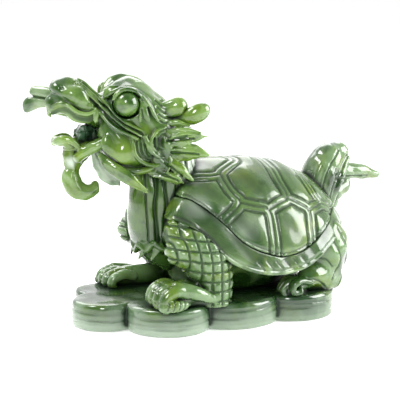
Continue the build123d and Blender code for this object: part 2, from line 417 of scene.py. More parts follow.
# the left side's seams between the scutes, as x and the lean from the ridge in degrees
SEAMS = [
    [(13, 0), (13.5, -12), (7, -20), (2, -27), (2.7, -42), (5.6, -52), (-3.5, -62)],
    [(5.6, -52), (12, -55), (18.4, -58), (19, -72), (19.3, -86)],
    [(18.4, -58), (24.1, -54), (29.9, -49), (28.5, -34), (29, -15), (28.5, 0)],
    [(29.9, -49), (35, -53), (40, -58), (39.8, -70), (39.5, -84)],
    [(40, -58), (48.4, -50), (46, -42), (45, -30), (45.5, -14), (45, 0)],
    [(48.4, -50), (54, -50), (58, -58)],
    [(2, -27), (-4, -27), (-12, -21), (-19, -14), (-22, 0)],
]
SEAM_PITCH = 2.9


def carve_carapace():
    stone = Carving((-32, -40, 27), (73, 40, 75), 0.5)
    x, y, z = stone.everywhere()
    stone.field[:] = np.clip(dome_field(x, y, z), -FAR, FAR)
    stone.even_out()
    seams = []
    for seam in SEAMS:
        left = [on_dome(*spot) for spot in spline(seam, 3)]
        seams += [left, [(px, -py, pz) for px, py, pz in left]]
    distance = stone.etch(seams, 0.8, 0.8, steps=1, echo=(SEAM_PITCH,), reach=10)
    middle = np.clip((distance - SEAM_PITCH - 0.7) / 6, 0, 1)
    stone.field -= (0.5 * (1 - (1 - middle) ** 2)).astype(np.float32)
    stone.waver(0.22, 12)
    stone.field += (0.5 * np.exp(-((z - along(CREASE, x) - 1.5) / 0.4) ** 2)).astype(np.float32)
    stone.keep(along(CREASE, x) + 0.1 - z, 0.7)
    stone.keep(behind_front(x, z), 1.2)
    return stone


def carve_skirt():
    stone = Carving((-37, -43, 19), (75, 43, 64), 0.5)
    x, y, z = stone.everywhere()
    crease, edge = along(CREASE, x), along(SKIRT_EDGE, x)
    fall = np.clip((crease - z) / (crease - edge), 0, 1)
    outside = dome_field(x, y, z, 0.1 + 1.7 * fall ** 1.4)
    inside = dome_field(x, y, z, -6)
    stone.field[:] = np.clip(np.maximum(outside, -inside), -FAR, FAR)
    stone.even_out()
    stone.field += (0.45 * np.exp(-((z - edge - 2.2) / 0.5) ** 2)).astype(np.float32)
    stone.waver(0.22, 9)
    notches = [[(foot, 0, 30.5), (foot + 3.2, 0, 26.5)] for foot in np.arange(10, 34, 4.5)]
    strokes = [[(-17 + 3.4 * step, 0, 50.4 - 2.9 * step), (-8 + 3.4 * step, 0, 48.2 - 3.2 * step)]
        for step in range(5)]
    for _ in stone.sides():
        stone.etch(notches, 0.55, 0.3, steps=1, skip=(1, 20, 43))
        # the strokes are not cut, only painted darker: painted shade
        stone.etch(strokes, 0.55, 0, steps=1, skip=(1, 20, 43))
    stone.keep(z - crease + 0.1, 0.6)
    stone.keep(edge - z, 1.6)
    # the front end comes forward to a hooked tip over the knee
    stone.keep(behind_front(x, z), 1.2)
    return stone


def carve_trunk():
    stone = Carving((-33, -32, 9), (66, 32, 64), 0.8)
    stone.blob((18, 0, 42), (44, 29.5, 26))
    stone.blob((16, 0, 22), (32, 17, 14), 4)
    stone.blob((-8, 0, 42), (18, 18, 15), 5)
    x, y, z = stone.everywhere()
    stone.keep(z - along(CREASE, x) + 3, 1)
    stone.keep(10.5 - z)
    return stone


# ---- legs
def carve_front_leg(far=False):
    """The left front leg. The far one, mirrored later, has a flatter paw set further forward."""
    stone = Carving((-50, -40, 9), (6, -12, 56), 0.4)
    # the scaled sleeve: shoulder, bent knee that hangs over the paw, and the shank behind it
    stone.bar([(-9.5, -20, 50), (-11.5, -25, 43), (-11.4, -27.5, 34), (-7.5, -27.5, 25), (-6, -27, 14)],
        [8, 10.2, 11.2, 9.3, 7.6], 3)
    stone.blob((-17.8, -27.5, 36.6), (11.4, 8.8, 8.2), 3)
    stone.blob((-20.5, -22.5, 43), (7.5, 6.5, 7.5), 2)
    stone.even_out()
    x, y, z = stone.everywhere()
    above = np.maximum(-1.0 - dome_field(x, y, z), along(SKIRT_EDGE, x) + 0.6 - z)
    stone.keep(-above.astype(np.float32), 1)
    rows = [[(-38, 0, 53 - drop), (-26, 0, 52 - drop), (-14, 0, 50.6 - drop), (-4, 0, 50.4 - drop),
        (6, 0, 51 - drop)] for drop in 4.6 * np.arange(9)]
    columns = [[(-31 + shift, 0, 56), (-32 + shift, 0, 44), (-30 + shift, 0, 32),
        (-26.5 + 0.94 * shift, 0, 12)] for shift in 4.5 * np.arange(9)]
    distance = stone.etch(rows + columns, 0.85, 0.7, skip=(1, -40, -17), reach=2.8)
    middle = np.clip((distance - 0.5) / 1.9, 0, 1)
    outer = np.clip((-17 - y) / 2, 0, 1)
    stone.field -= (0.45 * outer * (1 - (1 - middle) ** 2)).astype(np.float32)
    sleeve = stone.field.copy()

    ahead, inwards, flatter, slimmer = (-4.5, 5, 0.72, 0.8) if far else (0, 0, 1, 1)

    def placed(points):
        return [(x + ahead, y + inwards, BASE_TOP + (z - BASE_TOP) * flatter) for x, y, z in points]

    def limb(points, radii, blend):
        stone.bar(placed(points), [slimmer * radius for radius in radii], blend)

    # the paw under the knee: a level foot with a fist of ribbed toes
    limb([(-5 - ahead, -26 - inwards, 16.4), (-15, -26.5, 16.6), (-23, -27.2, 16.8), (-28, -27.5, 16.4)],
        [6.2, 6.8, 6.4, 5.4], 1)
    limb([(-27, -33.5, 22.4), (-18, -35, 18.6), (-9, -33.6, 14.8)], [2.2, 3.2, 1.8], 1)
    for toe in range(4):
        y = -34.6 + 4.8 * toe
        bend = 0.45 * (toe - 1.5) ** 2
        limb([(-22.5, y, 19), (-28.2 + bend, y, 20.4), (-32.6 + bend, y, 18.6), (-34.2 + bend, y, 15.6),
            (-33.4 + bend, y, 13)], [2.7, 3, 2.9, 2.7, 2.2], 0.4)
    limb([(-34, -35.2, 14), (-28, -36.6, 14.4), (-23, -36.8, 14.6)], [2.2, 2.6, 1.2], 0.4)
    stone.even_out()
    stone.cuts[sleeve > 0.5] = 0.0
    knuckles = []
    for angle in np.radians(20 + 32 * np.arange(4)):
        x, z = -28 - 8.2 * math.sin(angle), 14.8 + 8.2 * math.cos(angle)
        knuckles.append(placed([(x, -40 + 0.5 * k, z + 0.5 * (k % 2)) for k in range(0, 48, 4)]))
    stone.etch(knuckles, 0.55, 0.5)
    stone.etch([placed([(-33 + 2.4 * k, 0, 12.6), (-32 + 2.4 * k, 0, 17)]) for k in range(5)], 0.5, 0.4,
        skip=(1, -40, -35.4 + inwards))
    stone.blob(placed([(-18.5, -36.6, 13.2)])[0], (4.4, 4, 2.6), 0.8, away=True)
    x, y, z = stone.everywhere()
    stone.keep(BASE_TOP - 1.0 - z)
    return stone


def carve_far_front_leg():
    return carve_front_leg(far=True)


def carve_hind_leg():
    stone = Carving((14, -38, 9), (72, -6, 48), 0.42)
    # a haunch behind, a shank that comes forward from it, and a paw curled like a fern
    stone.blob((52, -19, 30), (12.2, 12.5, 15), 3)
    stone.bar([(53, -20, 34), (58.6, -19.5, 27), (55.6, -20.5, 15.5)], [9, 6.2, 5], 3)
    stone.bar([(55, -22, 16), (48, -24.5, 19), (41, -27.5, 18.6), (36, -29, 16.4)], [5.5, 6.6, 5, 3.4], 2)
    stone.bar([(50, -23, 14), (44, -25, 14.4)], [5, 3], 2)
    # the paw: a curled front toe, and two more behind it
    stone.bar([(39, -31, 17.8), (34.4, -32, 18.6), (31.2, -32.4, 17.2), (30.2, -32.4, 15),
        (31.6, -32.4, 13.4), (34, -32.4, 13.4), (34.6, -32.4, 15)], [2, 1.7, 1.6, 1.6, 1.5, 1.2, 0.8],
        0.35, flat=1.4)
    for toe in range(2):
        stone.bar([(38, -27.5 + 4.4 * toe, 17.6), (32, -28.4 + 4.4 * toe, 17.6),
            (27.8 + toe, -28.6 + 4.4 * toe, 14.6), (28.6, -28.6 + 4.4 * toe, 12)], [2.6, 2.3, 2, 1.6], 0.4)
    stone.even_out()
    stone.waver(0.3, 8)
    folds = [[(56, 40), (60, 32), (61.5, 22), (57, 13)], [(50, 38), (54.5, 31), (56, 24), (52, 17)],
        [(43, 27.5), (48, 27), (52, 23)], [(38, 19.5), (44, 17.6), (50, 13)]]
    stone.etch(folds, 0.8, 0.4, skip=(1, -38, -14))
    x, y, z = stone.everywhere()
    stone.keep(BASE_TOP - 1.0 - z)
    return stone


# ---- neck and tail
def carve_neck():
    stone = Carving((-42, -21, 16), (6, 21, 86), 0.45)
    stone.bar([(-16, 28), (-17.8, 36), (-18.5, 46), (-18.5, 57), (-17, 68), (-19, 80)],
        [6, 11.6, 13.4, 13.8, 13.6, 11], 2)
    # a chest plate that ends over the feet, with an edge at its sides
    stone.bar([(-25.5, 78), (-26.8, 62), (-27.2, 47), (-25.6, 37), (-22, 29)], [6.4, 7.4, 7.8, 7, 4],
        2, flat=1.25)
    stone.even_out()
    stone.waver(0.25, 9)
    # the scarf's wavy hem round the foot of the chest
    for _ in stone.sides():
        stone.bar([(-32, 32.4), (-31.8, -3.6, 35.6), (-29.8, -7.4, 33.4), (-27.6, -10.2, 37),
            (-23.8, -12.2, 34.6), (-20, -12.6, 38)], [1.2, 1.5, 1.3, 1.5, 1.3, 0.6], 0.5)
    for tip, root in (((-32.6, -4.5, 29.4), (-29.5, -7, 35.4)), ((-28.6, -9.4, 29), (-25.5, -11, 35.6))):
        for side in stone.sides():
            stone.bar([root, tip], [2.4, 0.5], 0.4, flat=((-0.8, side * root[1] / 14, 0.2), 0.5))
    # its long folds, deepest at the sides
    for _ in stone.sides():
        for path, width, depth in (
                ([(-29.6, 78), (-30.4, 62), (-30.2, 50), (-29.2, 38)], 0.8, 0.8),
                ([(-26.6, 78), (-26.2, 64), (-27, 52), (-25.6, 38)], 1.4, 1.6),
                ([(-22.6, 78), (-23.4, 66), (-22.4, 54), (-23, 42), (-22, 32)], 1.3, 1.6),
                ([(-18.6, 74), (-17.6, 62), (-18.6, 50), (-17.6, 36)], 1.2, 1.4),
                ([(-13, 74), (-12.4, 60), (-12.8, 44)], 1, 1),
        ):
            stone.etch([path], width, depth, skip=(1, 3, 21))
    hair = [[(0, y, 86), (0, 1.3 * y + wave, 76), (0, 1.1 * y - wave, 68), (0, 0.7 * y, 60)]
        for y, wave in ((-8, 1), (-5.4, -0.8), (-2.8, 1), (0, -0.8), (2.8, 1), (5.4, -0.8), (8, 1))]
    stone.etch(hair, 1, 1, skip=(0, -14, 6))
    return stone


def carve_tail():
    stone = Carving((48, -14, 42), (98, 14, 80), 0.4)
    # locks that rise together from the shell: the tall one curls forward at its top
    stone.bar([(58, 45), (60, 53), (62, 60.4), (65.6, 67.2), (71.6, 70.6)], [8, 8.4, 8.6, 7.6, 4.6],
        1, flat=1.05)
    for _ in stone.sides():
        stone.bar([(54.8, 3.4, 48), (56.2, 5.2, 56), (59.4, 5.2, 65), (66, 3.4, 72.6)],
            [2.4, 2.6, 2.6, 1.4], 0.4)
        stone.bar([(59.4, 5.8, 47), (61.4, 6.8, 55), (64.8, 6.2, 64), (71, 4, 71.2)],
            [2.4, 2.6, 2.5, 1.3], 0.4)
        stone.bar([(64.4, 4.8, 48), (67, 5.4, 54.6), (70.8, 5, 61.5), (75, 3, 67.6)],
            [2.2, 2.4, 2.2, 1.2], 0.4)
    stone.bar([(66, 58), (71, 61), (73.4, 65.4)], [5.5, 4.6, 3.4], 1.2)
    stone.bar([(66, 61.4), (76, 61.2), (85, 60.2), (92.6, 58.4)], [4.8, 4, 3.4, 1.6], 0.6, flat=0.85)
    stone.bar([(64, 51), (70, 52.5), (75, 54.8), (74.4, 57.6)], [6, 5, 3.2, 1.8], 0.8)
    stone.bar([(62, 45), (67.4, 46.8), (70.6, 49)], [5, 4, 2.2], 0.8)
    stone.even_out()
    stone.waver(0.2, 7)
    locks = [[(57.4, 47), (58.6, 56), (61.8, 64.6), (68.5, 72.4)], [(62.4, 46), (64, 55), (67.8, 62.6),
        (74, 69.6)], [(67.4, 47), (69, 54), (72.6, 59)], [(66, 58.8), (76, 59.2), (86, 58.8)]]
    for _ in stone.sides():
        stone.etch(locks, 0.6, 0.6, skip=(1, 1, 14))
    return stone


# ---- head, carved straight and turned later
EYE = (-37.1, -11.5, 99.4)
EYE_RADIUS = 5.7


def carve_head():
    stone = Carving((-74, -19, 66), (-10, 19, 114), 0.36)
    # skull and cheeks
    stone.blob((-30, 0, 90), (16, 12, 15))
    for _ in stone.sides():
        stone.blob((-33, 7.5, 79.5), (14.5, 7.6, 9), 3)
        stone.blob((-34, 6.5, 97), (11, 7.5, 9.5), 4)
        stone.blob((-25.5, 7.5, 88), (11, 7.2, 12), 3)
        stone.blob((-41, 7.5, 86), (8, 5.5, 8), 3)
    # the bridge falls from the forehead and rises again to a bulbous nose
    stone.bar([(-34, 100), (-42, 97.2), (-48, 95.4), (-54, 98)], [10, 7.5, 6.2, 6.4], 3)
    stone.blob((-61, 0, 104.4), (7.4, 6.8, 6.2), 2)
    stone.blob((-66, 0, 106.4), (3, 5.4, 3.2), 1.5)
    stone.bar([(-57.5, 104.4), (-54, 101.9), (-50.7, 99.2), (-45.5, 96.4)], [4.8, 4.3, 4.1, 4.4], 1.5)
    for _ in stone.sides():
        # the nose's wings: rounded rolls that end above the lip
        stone.bar([(-64.6, 4, 105.6), (-61.4, 5.6, 104), (-57.5, 6.6, 101.4), (-55.3, 6.8, 100.4)],
            [2.4, 3.3, 3.3, 2.6], 1.2)
        stone.blob((-58, 5.4, 103.4), (5.4, 3.9, 3.7), 1.2, turn=(0, 22, 0))
    stone.bar([(-43.5, 6, 103.2), (-40.5, 7, 106.2), (-35, 7.6, 107.8), (-28, 7.6, 104.4), (-20, 7, 98.4)],
        [2.2, 2.9, 3.2, 3.2, 2.4], 2)
    stone.bar([(-43.5, -4, 99.8), (-38, -4.5, 101.8), (-30, -5.5, 99.6), (-20, -6, 95.6)],
        [2.6, 3.2, 3.2, 2.4], 2)
    # the upper jaw, with lips that flare outwards
    stone.bar([(-67.5, 99.5), (-62, 98), (-55, 96.8), (-46, 94.5)], [3.6, 5.2, 6.2, 7.4], 1.5)
    stone.bar([(-65, 104), (-66.6, 100.8), (-68.4, 97.6), (-69.4, 94.8), (-68.6, 93.2)],
        [2.4, 2, 1.5, 1.1, 0.4], 1.6)
    stone.blob((-62.6, 0, 101.6), (5, 6.2, 4.6), 1.6)
    stone.blob((-64.4, 0, 100.2), (4, 5.6, 4.6), 1.2)
    stone.blob((-62, 0, 96.8), (6.5, 6, 4.2), 1)
    for _ in stone.sides():
        # from the nose the lip slopes outwards without a break
        stone.bar([(-65.4, 1.4, 100.4), (-63.4, 3.6, 100.6), (-60.4, 5.4, 99.8), (-57.2, 6.2, 98.4),
            (-52.5, 7, 97.8)], [1.6, 2.2, 2.5, 2.4, 2.3], 1.5)
    stone.even_out()
    stone.waver(0.25, 7)
    for _ in stone.sides():
        # a thin rim that flares out, and the inner side of the lip under it
        rim = [(-69.6, 1.2, 95.2), (-68.6, 4.2, 97.6), (-66.2, 6.6, 99.4), (-63.6, 8.2, 99.5),
            (-61.2, 9, 98.4), (-59.2, 9.4, 96.6), (-56.6, 9.9, 95.5), (-53.6, 10.3, 95.2),
            (-51, 10.4, 96.2)]
        stone.bar(rim, [0.6, 0.85, 0.95, 0.95, 0.95, 0.95, 0.95, 0.95, 0.7], 0.7)
        inner = [(x + 0.5, 0.76 * y, z - 2.4) for x, y, z in rim[1:]]
        stone.bar(inner, [1, 1.8, 2.4, 2.6, 2.6, 2.3, 2, 1.6], 0.5, flat=((0, 1, 0.25), 0.5))
        # the lip's inner side is only painted darker: painted shade under the rim
        stone.etch([[(x, y * 1.08, z - 0.2) for x, y, z in inner]], 2.3, 0)
        stone.blob((-50.2, 9.2, 94.4), (1.5, 2, 3.6), 0.4)
    for _ in stone.sides():
        # eye socket, nostril, and the notch between the nose's wing and the lip
        stone.blob((EYE[0], 12.6, EYE[2]), (6.5, 6, 6.5), 0.6, away=True)
        stone.blob((-64.6, 8.2, 106.4), (1.3, 2.6, 1.1), 0.5, away=True)
        stone.bar([(-68.4, 2.6, 103.4), (-65.4, 6.6, 102.6), (-61.4, 8.9, 100.2), (-57, 9.9, 98.6),
            (-53.6, 10.2, 99.4), (-51.8, 9.6, 101.6)], [0.15, 0.3, 0.5, 0.6, 0.6, 0.3], 0.9, away=True)
    # cheek ridges that run from the lip under the eye to the back of the cheek
    ridges = [
        ([(-49.5, -9.2, 97), (-47.2, -10.6, 94.2), (-44.6, -12.2, 90.8), (-41.2, -13.6, 88.3),
          (-37, -14.6, 86.6), (-32.6, -15.2, 84.2), (-30, -15.4, 81.6)], 1.15),
        ([(-48.6, -9.6, 98.6), (-45.6, -11.6, 96.2), (-42.2, -13, 92.6), (-38.4, -14.2, 89.6),
          (-34.4, -15, 87.2), (-31, -15.4, 85)], 0.95),
        ([(-48.4, -7.8, 102.4), (-45.8, -10.2, 99.6), (-43.4, -12, 96), (-39.8, -13.4, 92.4),
          (-34.6, -14.6, 89.6), (-30.2, -15.2, 87.6)], 0.9),
    ]
    for ridge, thick in ridges:
        for _ in stone.sides():
            stone.bar(ridge, [0.4 * thick, 0.85 * thick, 0.4 * thick], 0.35)
    # leaves of the cheek: one flat, one full, and two curls with a ribbed hollow
    for _ in stone.sides():
        stone.bar([(-45.4, 11, 86.6), (-45.4, 11.8, 81.6), (-41, 12.6, 76.4)], [1.2, 3, 1.6], 0.8, flat=0.5)
        stone.blob((-38, 12.3, 78), (5, 3, 5.2), 0.8, turn=(0, -25, 0))
        for hollow, deep in (
                ([(-31.4, 16.2, 83.4), (-31.4, 16.4, 79.6), (-29.4, 16.2, 76.6), (-25.8, 15.8, 75.2)], 2),
                ([(-21.6, 15.6, 86), (-24, 16, 84.4), (-24.2, 16, 81.4), (-21.4, 15.4, 79.2)], 1.5),
        ):
            stone.bar(hollow, [0.7 * deep, deep, deep, 0.5 * deep], 0.5, away=True)
            # the hollow is also painted darker: painted shade
            stone.etch([hollow], 1.5 * deep, 0)
        stone.bar([(-35.4, 14.2, 85.2), (-34.6, 15, 81), (-34, 15.2, 77.6), (-31.8, 15.2, 74.8),
            (-28.2, 15.2, 72.9), (-24, 14.8, 72.4), (-21.2, 14.2, 74.6)],
            [0.5, 0.8, 0.9, 0.9, 0.9, 0.8, 0.5], 0.4)
        stone.bar([(-29.6, 15.2, 85), (-28.4, 15.4, 81.6), (-27.2, 15.4, 78.8), (-24.4, 15.2, 76.2),
            (-21.4, 14.8, 75.6)], [1.1, 1.3, 1.1, 0.8, 0.5], 0.4)
        for spread in (0, 1):
            stone.bar([(-20.6, 14.2, 88.6 - 1.6 * spread), (-24.6 + spread, 15.2, 87.4 - 1.5 * spread),
                (-27.0 + 2.0 * spread, 15.8, 83.4), (-25.6 + 1.8 * spread, 15.6, 79.6 + spread),
                (-21.4 + spread, 14.8, 77.6 + 1.6 * spread)], [0.4, 0.8, 0.85, 0.8, 0.4], 0.35)
        stone.bar([(-41.5, 10.8, 71.8), (-34.5, 11.8, 69.8), (-28.6, 12.6, 70.2), (-21.5, 12.6, 73)],
            [1.2, 1.5, 1.5, 0.8], 1)
    ribs = []
    for step in range(3):
        shift = 1.7 * step
        ribs.append([(-33.2 + shift, 0, 83.2 - 0.6 * step), (-32.8 + shift, 0, 79),
            (-30.9 + 0.8 * shift, 0, 76.2), (-27.6 + 0.4 * shift, 0, 74.6 + 0.6 * shift)])
    for step in range(2):
        shift = 1.5 * step
        ribs.append([(-25.6 + shift, 0, 84.4), (-25.4 + shift, 0, 80.6), (-23.2 + shift, 0, 77.6)])
    # locks of hair behind the brow, and long grooves down the bridge
    for step in range(4):
        ribs.append([(-24.5 + 0.6 * step, 0, 100.4 - 2.9 * step), (-20.5, 0, 97.3 - 2.2 * step),
            (-16, 0, 96.8 - 1.9 * step)])
    ribs.append([(-43.5, 92.6), (-38.5, 88.3), (-33.5, 85.9)])
    for _ in stone.sides():
        stone.etch(ribs, 0.6, 0.6, skip=(1, 9, 19))
    for ridge in (
            [(-58.4, -4, 109.2), (-55.4, -4.6, 107.2), (-51.6, -5.4, 103.8), (-48, -6.4, 100.8),
              (-45, -8.2, 98.2), (-42.2, -10.8, 95.4)],
            [(-58.4, -5.6, 108.4), (-54.8, -6.4, 105.6), (-51.6, -7, 102.4), (-48.8, -7.8, 99.6),
              (-46.4, -9.6, 96.8)],
            [(-56.4, -1.6, 109.6), (-54, -2, 107.9), (-50.4, -2.6, 104.4), (-47, -3.6, 101.6),
              (-43.6, -5.6, 99.6)],
    ):
        for _ in stone.sides():
            stone.bar(ridge, [0.35, 0.75, 0.35], 0.35)
    between_ridges = [
        [(-48.9, 97.9), (-46.4, 95.2), (-43.4, 91.7), (-39.8, 88.9), (-35.7, 86.9), (-31.8, 84.6)],
        [(-48.5, 100.5), (-45.7, 97.9), (-42.8, 94.3), (-39, 91), (-34.5, 88.4), (-30.6, 86.3)],
    ]
    for _ in stone.sides():
        stone.etch(between_ridges, 0.6, 0.6, skip=(1, 8, 19))
    # hair that falls from the back of the head
    nape = [[(0, y, 100), (0, 1.2 * y + 0.8 * wave, 90), (0, 1.3 * y - 0.6 * wave, 82), (0, 1.1 * y, 76)]
        for y, wave in ((-8, 1), (-5.4, -1), (-2.8, 1), (0, -1), (2.8, 1), (5.4, -1), (8, 1))]
    stone.etch(nape, 0.9, 0.9, skip=(0, -24, -10))
    return stone


def carve_eye():
    stone = Carving((-45, -19, 91), (-29, -4, 107.5), 0.33)
    stone.blob(EYE, EYE_RADIUS, 0)
    return stone


def carve_brow():
    stone = Carving((-51, -20, 84), (-18, -3, 114), 0.34)
    # the outer ridge rises over the eye and runs down behind it; a flat band lies inside it,
    # and then the lid
    outer = [(-45.8, -8, 102.4), (-42.6, -9.4, 104.6), (-39, -10.4, 105.7), (-35.4, -11.2, 105.6),
        (-31.4, -12.2, 103.4), (-28.6, -13, 99.8), (-26, -13.6, 95.6), (-23.6, -13.8, 91.6)]
    stone.bar([(x + 0.8, y + 2.2, z - 1.6) for x, y, z in outer], [1.2, 1.9, 2.2, 2.4, 2.5, 2.5, 2.2, 1.2],
        0.8)
    stone.bar([(x, y - 0.7, z) for x, y, z in outer], [0.6, 1, 1.15, 1.2, 1.2, 1.1, 1, 0.5], 0.35)
    inner = [(EYE[0] + 6.4 * math.cos(a), EYE[1] - 2.2, EYE[2] + 6.4 * math.sin(a))
        for a in np.radians(np.arange(160, -20, -20))]
    inner += [(-31.2, -14, 95.2), (-31.6, -14.2, 91.8)]
    stone.bar(inner, [0.6, 1, 0.6], 0.35)
    stone.bar([(-30.2, -12.6, 98.4), (-29, -13, 94.6), (-27.6, -13.2, 91.6)], [1.9, 2, 1.2], 0.6)
    # a tuft in front of the eye
    stone.bar([(-40.6, -8.8, 106), (-44, -8.4, 104.6), (-45.8, -7.8, 101.6)], [1.4, 2.2, 0.8], 0.6, flat=0.6)
    stone.even_out()
    stone.etch([[(-30.9, 97), (-30.4, 92.2)], [(-28, 98), (-26.4, 92.6)], [(-33.8, 104.2), (-30.4, 101)]],
        0.6, 1, skip=(1, -20, -9))
    return stone


def carve_ear():
    stone = Carving((-30, -18, 87), (-5, -2, 105), 0.34)
    stone.bar([(-27, -7.6, 96), (-20, -8.4, 96.2), (-14.4, -9, 97.1), (-13.6, -9, 97.2)],
        [3, 3.2, 4.4, 4.3], 1, flat=0.85)
    stone.bar([(-20, -8.4, 94), (-13.4, -9, 95.4)], [3, 3], 1)
    return stone


def carve_horn():
    stone = Carving((-25, -20, 85), (4, -5, 102), 0.34)
    stone.bar([(-18, -8.4, 90.6), (-13, -9.6, 91.4), (-8.2, -11.4, 93)], [2, 2.6, 3.8], 1, flat=0.75)
    stone.blob((-5.6, -12, 94.4), (6.2, 3.2, 4.2), 1, turn=(0, -26, 0))
    return stone


def carve_mane():
    stone = Carving((-31, -22, 57), (2, -5, 94), 0.35)
    stone.blob((-21.5, -11.5, 78), (6, 4, 12))
    spikes = [
        ([(-22, -11.5, 90), (-15, -13, 90.4), (-9.6, -13.8, 89.2)], [1, 1.5, 0.4], (0, 1, 0.1), 0.7),
        ([(-21.5, -12.5, 85.5), (-16, -14, 86), (-10.6, -15, 85.6), (-1.9, -16, 84.3)],
          [2.2, 2.8, 2.6, 0.4], (0, 1, 0.2), 0.6),
        ([(-21.5, -12.5, 81), (-16.4, -14, 81.6), (-10.4, -15, 82.8), (-4.6, -15.8, 84)],
          [2, 1.9, 1.4, 0.4], ACROSS, 0.7),
        ([(-19, -12.8, 79.8), (-12, -14.4, 80.2), (-6.6, -15.4, 79.4), (-1.6, -16, 76.6)],
          [1.2, 1.8, 1.3, 0.4], ACROSS, 0.6),
        ([(-21.5, -12.5, 76), (-14.4, -14, 76.6), (-8, -15.2, 76.8), (-1.4, -16, 76.1)],
          [2.2, 2.9, 2.2, 0.4], (0, 1, 0.1), 0.6),
        ([(-23, -12.5, 76), (-18.6, -14, 73.2), (-13.4, -14.8, 69.6), (-8.3, -15.2, 65)],
          [2, 2.6, 2.4, 0.4], (0, 1, 0.2), 0.55),
        ([(-27.5, -11.5, 70.5), (-22, -13.4, 68), (-16, -14.6, 65.8), (-12.2, -15, 63.8)],
          [2, 2.5, 2.2, 0.4], (0, 1, 0.3), 0.55),
    ]
    for points, radii, across, share in spikes:
        stone.bar(points, radii, 0.45, flat=(across, share))
    stone.even_out()
    stone.waver(0.25, 4.5)
    # the hollow that the upper spike folds round, with a sharp edge over it
    stone.bar([(-18.4, -15.8, 83), (-15.2, -16.6, 84), (-11, -17, 84.9)], [1, 1.5, 0.5], 0.3, away=True)
    # the hollow is painted darker: painted shade
    stone.etch([[(-18.4, 83), (-15.2, 84), (-11.4, 84.9)]], 1.3, 0, skip=(1, -22, -12))
    for edge in (
            [(-20.2, -14.6, 81.4), (-18.6, -15.6, 83.8), (-16.2, -16.2, 85.3), (-11.4, -16.4, 86.1),
              (-5, -16.6, 85.4)],
            [(-19.4, -14.2, 87.4), (-15, -15.4, 88), (-10.4, -16, 87.9), (-5, -16.4, 86.4)],
            [(-18.4, -14.6, 79.2), (-12, -15.6, 78.9), (-6, -16.2, 77.8)],
            [(-19.8, -14.2, 69.6), (-18.9, -14.9, 73.4), (-14.4, -15.8, 71.2), (-9.4, -15.8, 66.4)],
            [(-18.2, -15, 76), (-19, -15.8, 72), (-20.4, -15, 67.6)],
            [(-26, -13.6, 67.4), (-19.6, -15.2, 66.6), (-13.4, -15.8, 64.6)],
    ):
        stone.bar(edge, [0.4, 0.65, 0.35], 0.5)
    stone.etch([[(-22.4, 84), (-22.8, 79.5), (-21.4, 75.4)]], 1.9, 0.7, skip=(1, -22, -12))
    creases = [[(-20, 83), (-14, 83.4), (-8, 83.9)], [(-18, 77.8), (-12, 77.6), (-6, 76.9)],
        [(-21, 73.4), (-17, 70.6), (-13, 67.4)], [(-24, 69.6), (-19, 67.2), (-15, 65.4)]]
    stone.etch(creases, 0.75, 0.9, skip=(1, -22, -12))
    return stone


def carve_jaw_fin():
    stone = Carving((-52, -20, 56), (-24, -5, 82), 0.35)
    stone.bar([(-48, -9.5, 76.4), (-44, -11.6, 72), (-37, -13.4, 67), (-29.2, -15.4, 61.2)],
        [1.6, 2.8, 3, 0.5], 1, flat=((0.2, 1, 0.35), 0.45))
    stone.bar([(-47.2, -11.4, 73.9), (-42, -13.2, 71), (-35.4, -14.8, 66.8), (-29, -16, 61.8)],
        [0.6, 0.9, 0.9, 0.4], 0.6)
    stone.bar([(-46, -10.6, 71.6), (-38.6, -13.2, 65.6), (-29, -15.8, 60.6)], [0.5, 0.8, 0.4], 0.6)
    return stone


def carve_far_fin():
    stone = Carving((-54, 2, 54), (-26, 20, 82), 0.35)
    stone.bar([(-48, 8, 77), (-45.5, 9.4, 71), (-41, 10.4, 64.5), (-36.8, 11, 60)], [1.8, 3.6, 4, 0.7],
        0.6, flat=0.35)
    stone.bar([(-48.4, 7.6, 75.6), (-45.4, 9, 69), (-41.6, 10.2, 63), (-38.4, 10.8, 60.4)],
        [0.4, 0.8, 0.8, 0.3], 0.4)
    stone.even_out()
    stone.waver(0.25, 5)
    return stone


def carve_far_ear():
    stone = Carving((-30, 2, 84), (-8, 18, 100), 0.34)
    stone.bar([(-27, 7.6, 92.6), (-21, 8.4, 91.6), (-16.4, 9, 90.8)], [2.8, 3, 3], 1, flat=0.85)
    return stone


def carve_far_horn():
    stone = Carving((-25, 4, 80), (-2, 20, 96), 0.34)
    stone.bar([(-20, 10.4, 87.6), (-14, 11.6, 87.2), (-9.4, 12.6, 87.4)], [2.2, 3, 2.9], 1, flat=0.75)
    return stone


def carve_lower_jaw():
    stone = Carving((-72, -15, 70), (-34, 15, 92), 0.35)
    # a scooped shovel of a jaw: limbs from the cheek, a floor, and a lip that curls up and out
    stone.bar([(-40, 81), (-47, 80.6), (-53, 79.8), (-58, 79)], [9.5, 8.8, 7.8, 5.6], 1,
        flat=((0, 0, 1), 0.32))
    for _ in stone.sides():
        stone.bar([(-42, -9, 84.2), (-48.6, -8.6, 81.6), (-54.2, -7, 78.6), (-57.6, -5, 75.8)],
            [3.4, 2.8, 2.5, 2.4], 1)
    stone.bar([(-55.5, 77), (-60, 80.6), (-63.6, 82), (-65.8, 81.4)], [4.6, 5.2, 4.4, 3.2], 1,
        flat=((0.3, 0, 1), 0.4))
    stone.even_out()
    for _ in stone.sides():
        stone.bar([(-56.4, -6.2, 78.2), (-58.4, -6.4, 81.2), (-61.2, -6, 83.4), (-64.2, -4.8, 83.8),
            (-66.6, -2.8, 82.8), (-67.2, 81.6)], [1, 1.4, 1.6, 1.6, 1.5, 1.5], 0.5)
    stone.waver(0.2, 6)
    for _ in stone.sides():
        stone.etch([[(-44, -12, 81.5), (-49.5, -12, 78.8), (-55, -10.4, 75.6)]], 0.8, 0.6)
    return stone


